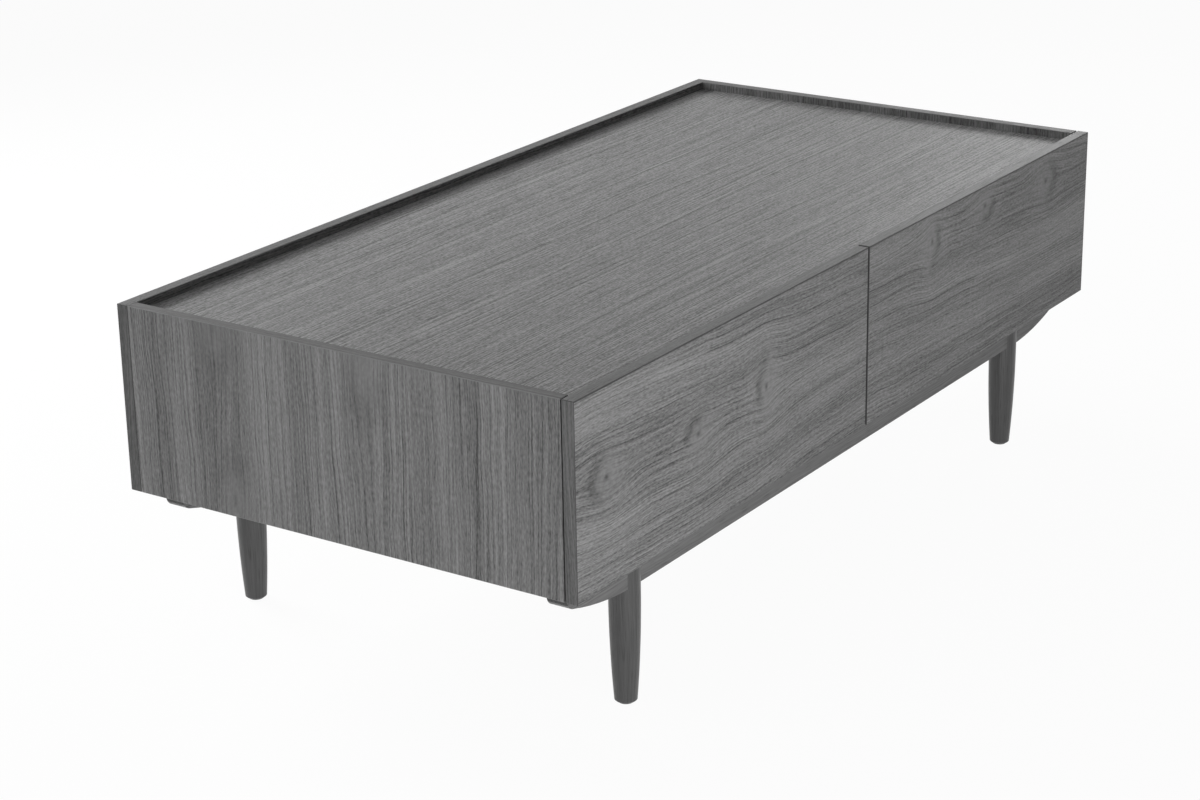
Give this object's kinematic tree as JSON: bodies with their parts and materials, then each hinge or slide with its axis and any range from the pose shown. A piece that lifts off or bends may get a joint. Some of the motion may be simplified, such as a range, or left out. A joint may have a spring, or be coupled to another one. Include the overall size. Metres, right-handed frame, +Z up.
{
  "type": "coffee table with drawers",
  "caption": "Low rectangular coffee table: a tray top let into a veneered box with handleless roller drawers, on upswept rails and turned tapering legs.",
  "frame": {"origin": "on the floor under the middle of the table", "axes": "+X along the table's length, the drawers open towards -Y, +Z up"},
  "size_m": [1.2, 0.6, 0.395],
  "materials": {
    "veneered_board": "satin lacquered veneer",
    "turned_wood": "satin stained solid wood",
    "dowel_wood": "raw beech",
    "drawer_board": "matt foiled board",
    "drawer_hardboard": "matt foiled hardboard",
    "coated_steel": "powder coated sheet",
    "zinc_steel": "bright zinc plated",
    "nylon_roller": "moulded",
    "glide_felt": "pressed felt",
    "clear_bumper": "soft, translucent"
  },
  "bodies": {
    "carcass": {"top_panel": "veneered_board", "left_end_panel": "veneered_board", "right_end_panel": "veneered_board", "back_panel": "veneered_board", "bottom_panel": "veneered_board", "centre_divider": "veneered_board", "front_rail": "veneered_board", "rear_rail": "veneered_board", "front_legs": "turned_wood", "rear_legs": "turned_wood", "carcass_dowels": "dowel_wood", "leg_screws": "zinc_steel", "rail_screws": "zinc_steel", "foot_glides": "glide_felt", "cabinet_runner_screws": "zinc_steel", "left_drawer_outer_cabinet_runner": "coated_steel", "left_drawer_inner_cabinet_runner": "coated_steel", "right_drawer_outer_cabinet_runner": "coated_steel", "right_drawer_inner_cabinet_runner": "coated_steel"},
    "left_drawer": {"left_drawer_front": "veneered_board", "left_drawer_outer_side": "drawer_board", "left_drawer_inner_side": "drawer_board", "left_drawer_back": "drawer_board", "left_drawer_bottom": "drawer_hardboard", "left_drawer_bumpers": "clear_bumper", "left_drawer_outer_drawer_runner": "coated_steel", "left_drawer_inner_drawer_runner": "coated_steel", "left_drawer_runner_screws": "zinc_steel"},
    "left_front_rollers": {"left_drawer_front_rollers": "nylon_roller"},
    "left_rear_rollers": {"left_drawer_rear_rollers": "nylon_roller"},
    "right_drawer": {"right_drawer_front": "veneered_board", "right_drawer_outer_side": "drawer_board", "right_drawer_inner_side": "drawer_board", "right_drawer_back": "drawer_board", "right_drawer_bottom": "drawer_hardboard", "right_drawer_bumpers": "clear_bumper", "right_drawer_outer_drawer_runner": "coated_steel", "right_drawer_inner_drawer_runner": "coated_steel", "right_drawer_runner_screws": "zinc_steel"},
    "right_front_rollers": {"right_drawer_front_rollers": "nylon_roller"},
    "right_rear_rollers": {"right_drawer_rear_rollers": "nylon_roller"}
  },
  "joints": [
    {"name": "left_drawer_slide", "type": "slide", "parent": "carcass", "child": "left_drawer", "axis": [0, -1, 0], "range_m": [0, 0.376]},
    {"name": "left_front_roller_turn", "type": "hinge", "parent": "carcass", "child": "left_front_rollers", "pos_m": [-0.296, -0.2695, 0.212], "axis": [1, 0, 0], "range_deg": [0, 2750]},
    {"name": "left_rear_roller_turn", "type": "hinge", "parent": "left_drawer", "child": "left_rear_rollers", "pos_m": [-0.296, 0.203, 0.212], "axis": [1, 0, 0], "range_deg": [0, 2750]},
    {"name": "right_drawer_slide", "type": "slide", "parent": "carcass", "child": "right_drawer", "axis": [0, -1, 0], "range_m": [0, 0.376]},
    {"name": "right_front_roller_turn", "type": "hinge", "parent": "carcass", "child": "right_front_rollers", "pos_m": [0.296, -0.2695, 0.212], "axis": [1, 0, 0], "range_deg": [0, 2750]},
    {"name": "right_rear_roller_turn", "type": "hinge", "parent": "right_drawer", "child": "right_rear_rollers", "pos_m": [0.296, 0.203, 0.212], "axis": [1, 0, 0], "range_deg": [0, 2750]}
  ],
  "couplings": [
    {"joint": "left_front_roller_turn", "follows": "left_drawer_slide", "rad_per_m": 125},
    {"joint": "left_rear_roller_turn", "follows": "left_drawer_slide", "rad_per_m": 125},
    {"joint": "right_front_roller_turn", "follows": "right_drawer_slide", "rad_per_m": 125},
    {"joint": "right_rear_roller_turn", "follows": "right_drawer_slide", "rad_per_m": 125}
  ]
}
